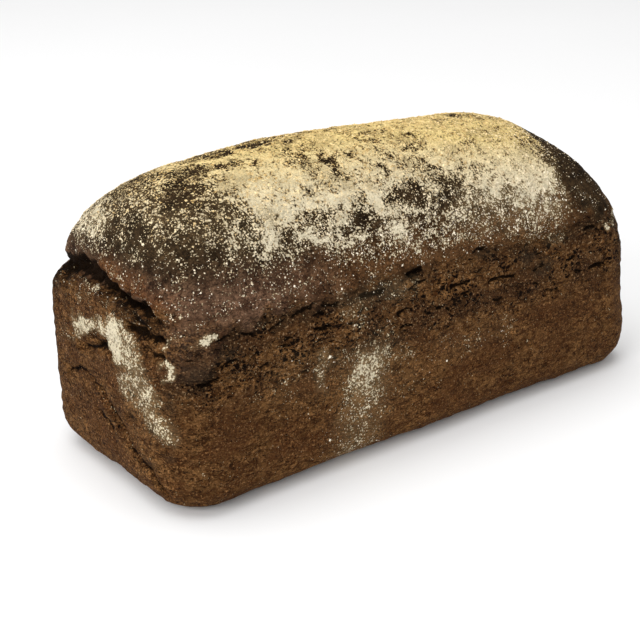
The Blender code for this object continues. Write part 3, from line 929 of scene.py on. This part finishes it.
def make_grains(name, crust, seed):
    """One kind of loose flour: small flattened grains that lie in clumps where the flour is."""
    count, size, least = GRAIN_KINDS[name]
    rng = np.random.default_rng(seed)
    places, normals, density = surface_samples(crust.data, count * GRAIN_TRIES, rng)
    clumps = layered(places, ((GRAIN_CLUMP, 1.0, seed), (GRAIN_CLUMP / 2, 0.5, seed + 1)))
    loose = GRAINS_ON_WALLS + (1.0 - GRAINS_ON_WALLS) * zone(places, "all grains")
    loose *= 1.0 - GRAINS_LOST * zone(places, "fewer grains")
    wanted = density * (1.0 - GRAINS_CAKED * density) * (1.0 + GRAINS_CLUMPED * clumps) * loose
    wanted -= least * rng.random(len(places))
    kept = np.flatnonzero(wanted > rng.random(len(places)) * GRAIN_CHANCE)[:count]
    places, normals = places[kept], normals[kept]
    tangent = np.cross(normals, rng.normal(size=normals.shape))
    tangent /= np.linalg.norm(tangent, axis=1)[:, None]
    axes = np.stack([tangent, np.cross(normals, tangent), normals], axis=1)
    shape = np.array(OCTAHEDRON)[None] * rng.uniform(*GRAIN_UNEVENNESS, (len(kept), 6, 1)) * GRAIN_RADII
    scale = size * rng.lognormal(0.0, GRAIN_SPREAD, (len(kept), 1, 1))
    corners = places[:, None] + np.einsum("nij,njk->nik", shape * scale, axes)
    corners += normals[:, None] * scale * GRAIN_LIFT
    faces = np.array(OCTAHEDRON_SIDES)[None] + (np.arange(len(kept)) * 6)[:, None, None]
    mesh = bpy.data.meshes.new(name)
    mesh.from_pydata(corners.reshape(-1, 3).tolist(), [], faces.reshape(-1, 3).tolist())
    return add_object(name, mesh)


def rgb(red, green, blue):
    """A colour for a shader from its screen values of 0 to 255."""
    screen = np.array((red, green, blue)) / 255.0
    linear = np.where(screen <= 0.04045, screen / 12.92, ((screen + 0.055) / 1.055) ** 2.4)
    return (*linear.tolist(), 1.0)


class Shader:
    """A material's nodes, added one by one. An input is a plain value or another node's output."""

    def __init__(self, name):
        self.material = bpy.data.materials.new(name)
        self.material.use_nodes = True
        self.tree = self.material.node_tree
        self.surface = self.tree.nodes["Principled BSDF"]

    def fill(self, node, inputs):
        for key, value in inputs.items():
            if isinstance(value, bpy.types.NodeSocket):
                self.tree.links.new(value, node.inputs[key])
            else:
                node.inputs[key].default_value = value

    def add(self, kind, inputs, output=0, **settings):
        node = self.tree.nodes.new(f"ShaderNode{kind}")
        for key, value in settings.items():
            setattr(node, key, value)
        self.fill(node, inputs)
        return node.outputs[output]

    def attribute(self, name):
        return self.add("Attribute", {}, "Fac", attribute_name=name)

    def math(self, operation, *values):
        return self.add("Math", dict(enumerate(values)), operation=operation)

    def times(self, a, b):
        return self.math("MULTIPLY", a, b)

    def scaled(self, value, factor, base):
        """The value times the factor, and the base added to it."""
        return self.math("MULTIPLY_ADD", value, factor, base)

    def largest(self, first, *others):
        for value in others:
            first = self.math("MAXIMUM", first, value)
        return first

    def gap(self, a, b):
        """How far apart two values are."""
        return self.math("ABSOLUTE", self.math("SUBTRACT", a, b))

    def swing(self, value, factor, base):
        """A value that swings round a half, made to swing round the base and stretched by a factor."""
        return self.scaled(self.math("SUBTRACT", value, 0.5), factor, base)

    def noise(self, place, scale, detail=2.0, roughness=0.5, distortion=0.0):
        inputs = {"Vector": place, "Scale": scale, "Detail": detail, "Roughness": roughness}
        return self.add("TexNoise", {**inputs, "Distortion": distortion})

    def stretch(self, place, scale):
        return self.add("Mapping", {"Vector": place, "Scale": scale})

    def ramp(self, value, low, high, to_low=0.0, to_high=1.0):
        inputs = {"Value": value, "From Min": low, "From Max": high, "To Min": to_low, "To Max": to_high}
        return self.add("MapRange", inputs, interpolation_type="SMOOTHSTEP")

    def mix(self, share, a, b):
        return self.add("Mix", {0: share, 6: a, 7: b}, 2, data_type="RGBA")

    def shade(self, colour, value):
        """The colour, made lighter or darker by a value that is one where nothing changes."""
        return self.add("Mix", {0: 1.0, 6: colour, 7: value}, 2, data_type="RGBA", blend_type="MULTIPLY")

    def blobs(self, place, scale):
        """Distance to the nearest of many scattered points, which gives rounded grains."""
        return self.add("TexVoronoi", {"Vector": place, "Scale": scale}, "Distance")

    def bump(self, height, distance, strength=1.0, under=None):
        inputs = {"Height": height, "Distance": distance, "Strength": strength}
        if under is not None:
            inputs["Normal"] = under
        return self.add("Bump", inputs)


def wall_colour(shader, place):
    """Brown crumbly wall that was against the tin: darker and more broken in the band under the skin's edge,
    with painted shade right under that edge and painted light and shade along the walls.
    """
    streaks = shader.noise(shader.stretch(place, (1.0, 1.0, 1.9)), 260.0, 8.0, 0.76, 0.7)
    mottle = shader.noise(shader.stretch(place, (1.0, 1.0, 1.8)), 45.0, 4.0, 0.6)
    band = shader.attribute("band")
    brown = shader.mix(shader.ramp(streaks, 0.38, 0.62), rgb(64, 37, 15), rgb(127, 90, 53))
    brown = shader.mix(shader.ramp(mottle, 0.4, 0.62, 0.0, 0.7), brown, rgb(80, 49, 26))
    # The broken band under the crown is darker, and painted shade falls right under the skin's overhanging
    # edge
    band_dark_and_ledge_shade = shader.times(band, 0.4)
    band_dark_and_ledge_shade = shader.largest(band_dark_and_ledge_shade, shader.times(shader.attribute("ledge_shade"), 0.75))
    band_dark_and_ledge_shade = shader.times(band_dark_and_ledge_shade, shader.ramp(mottle, 0.38, 0.58))
    brown = shader.mix(band_dark_and_ledge_shade, brown, rgb(50, 37, 24))
    flecks = shader.noise(place, 1300.0, 2.0, 0.5)
    fleck = shader.mix(band, rgb(156, 114, 72), rgb(166, 134, 98))
    brown = shader.mix(shader.ramp(flecks, 0.58, 0.68, 0.0, 0.65), brown, fleck)
    # Painted light and shade along the walls, from the tone attribute
    brown = shader.shade(brown, shader.attribute("tone"))
    torn = shader.times(shader.attribute("torn"), shader.ramp(streaks, 0.4, 0.62, 1.0, 0.35))
    return shader.mix(torn, brown, rgb(34, 21, 10)), streaks, band


def wall_pits(shader, place, band):
    """Pores and thin ragged cracks, many of them under the skin's edge and few elsewhere, and thin lines
    along the creases: how much painted shade darkens each spot, which also sinks the bumps.
    """
    shift = shader.add("TexNoise", {"Vector": place, "Scale": 700.0, "Detail": 2.0}, "Color")
    shift = shader.add("VectorMath", {0: shift, 1: (0.5, 0.5, 0.5)}, operation="SUBTRACT")
    shift = shader.add("VectorMath", {0: shift, "Scale": 0.0022}, operation="SCALE")
    ragged = shader.add("VectorMath", {0: place, 1: shift}, operation="ADD")
    flat = shader.stretch(ragged, (1.0, 1.0, 1.5))
    crowded = shader.ramp(shader.noise(place, 100.0, 2.0, 0.5), 0.42, 0.6)
    size = shader.scaled(shader.times(band, crowded), 0.2, 0.13)
    holes = shader.math("SUBTRACT", size, shader.blobs(flat, 300.0))
    specks = shader.math("SUBTRACT", shader.times(size, 1.15), shader.blobs(flat, 640.0))
    holes = shader.ramp(shader.largest(holes, specks), -0.03, 0.05)
    field = shader.noise(shader.stretch(ragged, (1.0, 1.0, 2.4)), 120.0, 4.0, 0.6)
    line = shader.gap(field, 0.5)
    places = shader.ramp(shader.noise(place, 85.0, 2.0, 0.5), 0.44, 0.54)
    places = shader.times(places, shader.scaled(band, 0.65, 0.35))
    lines = shader.times(shader.ramp(line, 0.003, 0.016, 1.0, 0.0), places)
    field = shader.noise(shader.stretch(place, (1.0, 1.0, 2.2)), 190.0, 5.0, 0.6, 0.6)
    line = shader.gap(field, 0.46)
    places = shader.ramp(shader.noise(place, 140.0, 2.0, 0.5), 0.46, 0.56, 0.0, 0.7)
    dashes = shader.times(shader.ramp(line, 0.002, 0.014, 1.0, 0.0), places)
    # Painted shade in a thin ragged line along the middle of each crease, as strong as the folded attribute
    # says
    fold = shader.swing(field, 0.003, shader.attribute("fold"))
    fold = shader.ramp(shader.math("ABSOLUTE", fold), 0.0002, 0.0008, 1.0, 0.0)
    folds = shader.times(fold, shader.attribute("folded"))
    return shader.largest(holes, lines, dashes, folds)


def skin_colour(shader, place):
    """Smooth crown skin: purple-brown low down on the left, dark grey-brown where it is baked hardest."""
    mottle = shader.noise(place, 130.0, 9.0, 0.82)
    shares = shader.ramp(mottle, 0.38, 0.62)
    low = shader.mix(shares, rgb(60, 37, 18), rgb(110, 77, 48))
    purple = shader.mix(shares, rgb(71, 48, 35), rgb(129, 98, 76))
    high = shader.mix(shares, rgb(30, 20, 10), rgb(72, 55, 36))
    low = shader.mix(shader.attribute("purple"), low, purple)
    return shader.mix(shader.attribute("bake"), low, high)


def flour_cover(shader, place):
    """How much of the crust the flour hides at each spot, and how thick it is there."""
    amount = shader.attribute("flour")
    clump = shader.noise(place, 250.0, 7.0, 0.71)
    speck = shader.noise(place, 1600.0, 2.0, 0.6)
    grains = shader.blobs(place, 1150.0)
    line = shader.gap(shader.noise(place, 210.0, 5.0, 0.7), 0.5)
    level = shader.scaled(amount, 1.22, -0.12)
    level = shader.swing(clump, 2.5, level)
    level = shader.swing(speck, 1.25, level)
    level = shader.scaled(shader.math("SUBTRACT", 0.5, grains), 1.0, level)
    crackle = shader.scaled(shader.attribute("warm"), 0.22, 0.36)
    crackle = shader.times(crackle, shader.ramp(line, 0.0, 0.026, 1.0, 0.0))
    level = shader.math("SUBTRACT", level, crackle)
    cover = shader.ramp(level, 0.47, 0.59)
    veil = shader.times(shader.ramp(amount, 0.02, 1.0), shader.attribute("veil"))
    full = shader.scaled(shader.attribute("warm"), 0.18, 0.88)
    return shader.largest(cover, veil), shader.ramp(level, 0.5, full)


def crust_material():
    """Dark rye crust under its flour."""
    shader = Shader("rye_crust")
    place = shader.add("TexCoord", {}, "Object")
    wall, streaks, band = wall_colour(shader, place)
    shaded_pits = wall_pits(shader, place, band)
    skin = skin_colour(shader, place)
    skin = shader.mix(shader.attribute("lip"), skin, shader.mix(0.4, wall, rgb(104, 62, 38)))
    grit = shader.noise(shader.stretch(place, (0.8, 0.8, 1.25)), 1700.0, 3.0, 0.7)
    granules = shader.blobs(shader.stretch(place, (0.85, 0.85, 1.3)), 820.0)
    # Painted shade darkens the wall in its pores, thin cracks and creases; the smooth skin lies over it above
    # its edge
    crust = shader.mix(shader.attribute("skin"), shader.mix(shaded_pits, wall, rgb(20, 10, 4)), skin)
    bruise = shader.times(shader.attribute("bruise"), shader.ramp(streaks, 0.4, 0.62, 1.0, 0.45))
    crust = shader.mix(bruise, crust, rgb(60, 47, 34))
    coarse = shader.ramp(shader.noise(place, 170.0, 3.0, 0.6), 0.38, 0.62, 0.55, 1.25)
    # Random grit in the crust's tone, with painted shade in the gaps between its granules
    grit_and_gap_shade = shader.swing(grit, 4.0, 0.3)
    grit_and_gap_shade = shader.scaled(shader.ramp(granules, 0.2, 0.8), -0.5, grit_and_gap_shade)
    coarse = shader.times(coarse, shader.attribute("rough"))
    grit_and_gap_shade = shader.scaled(grit_and_gap_shade, coarse, 0.98)
    crust = shader.shade(crust, shader.largest(grit_and_gap_shade, 0.22))
    # Painted shade in the cracks, creases and tears, with ragged edges
    ragged = shader.swing(streaks, -2.0, shader.attribute("crack_shade"))
    crust = shader.mix(shader.ramp(ragged, 0.32, 0.66, 0.0, 0.92), crust, rgb(18, 10, 4))
    cover, thick = flour_cover(shader, place)
    pale = shader.mix(shader.attribute("warm"), rgb(246, 233, 202), rgb(255, 228, 156))
    thin = shader.mix(shader.attribute("warm"), rgb(184, 161, 120), rgb(174, 139, 76))
    worn = shader.times(shader.attribute("worn"), 0.45)
    flour = shader.mix(worn, shader.mix(thick, thin, pale), rgb(168, 146, 100))
    colour = shader.mix(cover, crust, flour)
    rough = shader.largest(shader.ramp(grit, 0.3, 0.7, 0.62, 0.8), cover)
    height = shader.scaled(shaded_pits, -0.7, shader.scaled(granules, -0.25, streaks))
    bumps = shader.bump(height, 0.0018, 0.9)
    bumps = shader.bump(grit, 0.0006, 0.9, bumps)
    bumps = shader.bump(cover, 0.0003, 0.8, bumps)
    shader.fill(shader.surface, {"Base Color": colour, "Roughness": rough, "Normal": bumps})
    shader.fill(shader.surface, {"Specular IOR Level": 0.03})
    return shader.material


def flour_material():
    """Loose flour: pale, dull, a little warmer on the top of the crown."""
    shader = Shader("loose_flour")
    place = shader.add("TexCoord", {}, "Object")
    height = shader.add("SeparateXYZ", {0: place}, "Z")
    warm = shader.ramp(height, 0.08, 0.114)
    tone = shader.noise(place, 500.0, 2.0, 0.5)
    pale = shader.mix(warm, rgb(246, 235, 214), rgb(253, 229, 172))
    dull = shader.mix(warm, rgb(196, 178, 146), rgb(204, 170, 108))
    colour = shader.mix(shader.ramp(tone, 0.35, 0.65), dull, pale)
    shader.fill(shader.surface, {"Base Color": colour, "Roughness": 0.95, "Specular IOR Level": 0.05})
    return shader.material


def floor_material():
    """Plain pale ground."""
    shader = Shader("pale_floor")
    place = shader.add("TexCoord", {}, "Object")
    tone = shader.noise(place, 3.0, 2.0, 0.5)
    shader.fill(shader.surface, {"Base Color": shader.mix(tone, rgb(246, 246, 246), rgb(250, 250, 250))})
    shader.fill(shader.surface, {"Roughness": 0.9})
    return shader.material


def make_floor():
    """A large flat ground just under the loaf."""
    mesh = bpy.data.meshes.new("floor")
    bm = bmesh.new()
    bmesh.ops.create_grid(bm, x_segments=1, y_segments=1, size=FLOOR_REACH)
    bm.to_mesh(mesh)
    bm.free()
    mesh.materials.append(floor_material())
    floor = add_object("floor", mesh)


def make_light(name, place, size, power):
    """A soft square white light that faces the middle of the loaf."""
    data = bpy.data.lights.new(name, "AREA")
    data.size = size
    data.energy = power
    light = add_object(name, data)
    light.location = place
    light.rotation_euler = (Vector(LIGHT_AIM) - Vector(place)).to_track_quat("-Z", "Y").to_euler()


def make_studio():
    """Floor, lights and an even white surround."""
    make_floor()
    for name, light in LIGHTS.items():
        make_light(name, *light)
    world = bpy.data.worlds.new("surround")
    world.use_nodes = True
    surround = world.node_tree.nodes["Background"]
    surround.inputs["Color"].default_value = (1.0, 1.0, 1.0, 1.0)
    surround.inputs["Strength"].default_value = SURROUND_STRENGTH
    scene = bpy.context.scene
    scene.world = world
    scene.view_settings.view_transform = "Standard"


def make_camera():
    """The camera at the place and angle that the photo was taken from."""
    yaw, pitch, roll = np.radians((CAMERA_YAW, CAMERA_PITCH, CAMERA_ROLL))
    ahead = Vector((np.sin(yaw) * np.cos(pitch), np.cos(yaw) * np.cos(pitch), -np.sin(pitch)))
    level = ahead.cross(Vector((0.0, 0.0, 1.0))).normalized()
    upright = level.cross(ahead)
    right = level * np.cos(roll) + upright * np.sin(roll)
    up = upright * np.cos(roll) - level * np.sin(roll)
    data = bpy.data.cameras.new("camera")
    data.lens = CAMERA_LENS
    data.sensor_width = SENSOR_WIDTH
    camera = add_object("camera", data)
    turn = Matrix((right, up, -ahead)).transposed().to_4x4()
    camera.matrix_world = Matrix.Translation(CAMERA_PLACE) @ turn
    bpy.context.scene.camera = camera


def main():
    make_camera()
    crust = make_crust()
    crust.data.materials.append(crust_material())
    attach(crust, "root")
    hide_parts("loaf")
    flour = flour_material()
    for seed, name in enumerate(GRAIN_KINDS, start=81):
        grains = make_grains(name, crust, seed)
        grains.data.materials.append(flour)
        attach(grains, "root")
    make_studio()


main()
